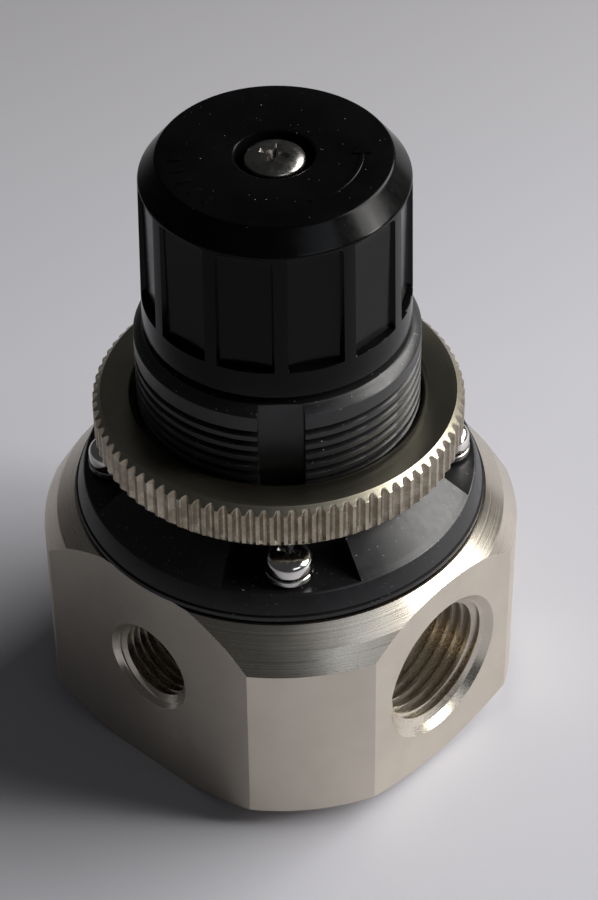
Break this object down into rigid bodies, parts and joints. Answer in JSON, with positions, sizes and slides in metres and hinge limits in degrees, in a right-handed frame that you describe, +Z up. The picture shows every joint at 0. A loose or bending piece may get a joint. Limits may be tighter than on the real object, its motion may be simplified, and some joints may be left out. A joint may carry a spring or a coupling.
{
  "type": "air pressure regulator",
  "caption": "Stainless air pressure regulator with side ports, a bonnet clamped by screws, a knurled panel nut and a push-to-lock adjusting knob.",
  "frame": {"origin": "centre of the body's flat underside, on the adjusting axis", "axes": "+Z up the adjusting axis towards the knob, +X out of the supply port, -Y out of the front gauge port"},
  "size_m": [0.0624, 0.0592, 0.095],
  "materials": {
    "stainless": "fine turned and milled, matte",
    "bonnet_plastic": "moulded black, satin",
    "nut_steel": "turned faces, bright knurl",
    "bright_steel": "polished",
    "washer_steel": "bright",
    "knob_plastic": "moulded black, glossy",
    "spindle_steel": "turned",
    "spring_steel": "drawn wire",
    "washer_plastic": "natural nylon",
    "brass": "turned",
    "plate_aluminium": "pressed",
    "seal_rubber": "matte"
  },
  "bodies": {
    "housing": {"body": "stainless", "bonnet": "bonnet_plastic", "bonnet_screw_1": "bright_steel", "bonnet_screw_2": "bright_steel", "bonnet_screw_3": "bright_steel", "bonnet_screw_4": "bright_steel", "lock_washer_1": "washer_steel", "lock_washer_2": "washer_steel", "lock_washer_3": "washer_steel", "lock_washer_4": "washer_steel", "thrust_washer": "washer_plastic", "valve_seat": "brass", "bottom_plug": "stainless", "plug_o_ring": "seal_rubber", "stem_o_ring": "seal_rubber", "diaphragm": "seal_rubber", "valve_spring": "spring_steel"},
    "spindle": {"adjusting_screw": "spindle_steel", "knob_screw": "bright_steel"},
    "knob": {"knob": "knob_plastic"},
    "button": {"spring_button": "brass"},
    "diaphragm_plates": {"upper_diaphragm_plate": "plate_aluminium", "relief_seat_plate": "plate_aluminium", "range_spring": "spring_steel"},
    "poppet": {"valve_poppet": "brass", "poppet_seal": "seal_rubber"},
    "panel_nut": {"panel_nut": "nut_steel"}
  },
  "joints": [
    {"name": "spindle_turn", "type": "hinge", "parent": "housing", "child": "spindle", "pos_m": [0, 0, 0.0634], "axis": [0, 0, -1], "range_deg": [0, 1620]},
    {"name": "knob_pull", "type": "slide", "parent": "spindle", "child": "knob", "axis": [0, 0, 1], "range_m": [0, 0.003]},
    {"name": "button_travel", "type": "slide", "parent": "housing", "child": "button", "axis": [0, 0, -1], "range_m": [0, 0.00563], "deforming": ["range_spring"]},
    {"name": "diaphragm_travel", "type": "slide", "parent": "housing", "child": "diaphragm_plates", "axis": [0, 0, -1], "range_m": [0, 0.001], "stiffness_N_per_m": 800, "springref_m": -0.002, "deforming": ["diaphragm"]},
    {"name": "poppet_travel", "type": "slide", "parent": "housing", "child": "poppet", "axis": [0, 0, -1], "range_m": [0, 0.001], "deforming": ["valve_spring"]},
    {"name": "panel_nut_travel", "type": "slide", "parent": "housing", "child": "panel_nut", "axis": [0, 0, 1], "range_m": [-0.0006, 0.0085]}
  ],
  "couplings": [
    {"joint": "button_travel", "follows": "spindle_turn", "m_per_rad": 0.00019894},
    {"joint": "poppet_travel", "follows": "diaphragm_travel", "ratio": 1}
  ]
}
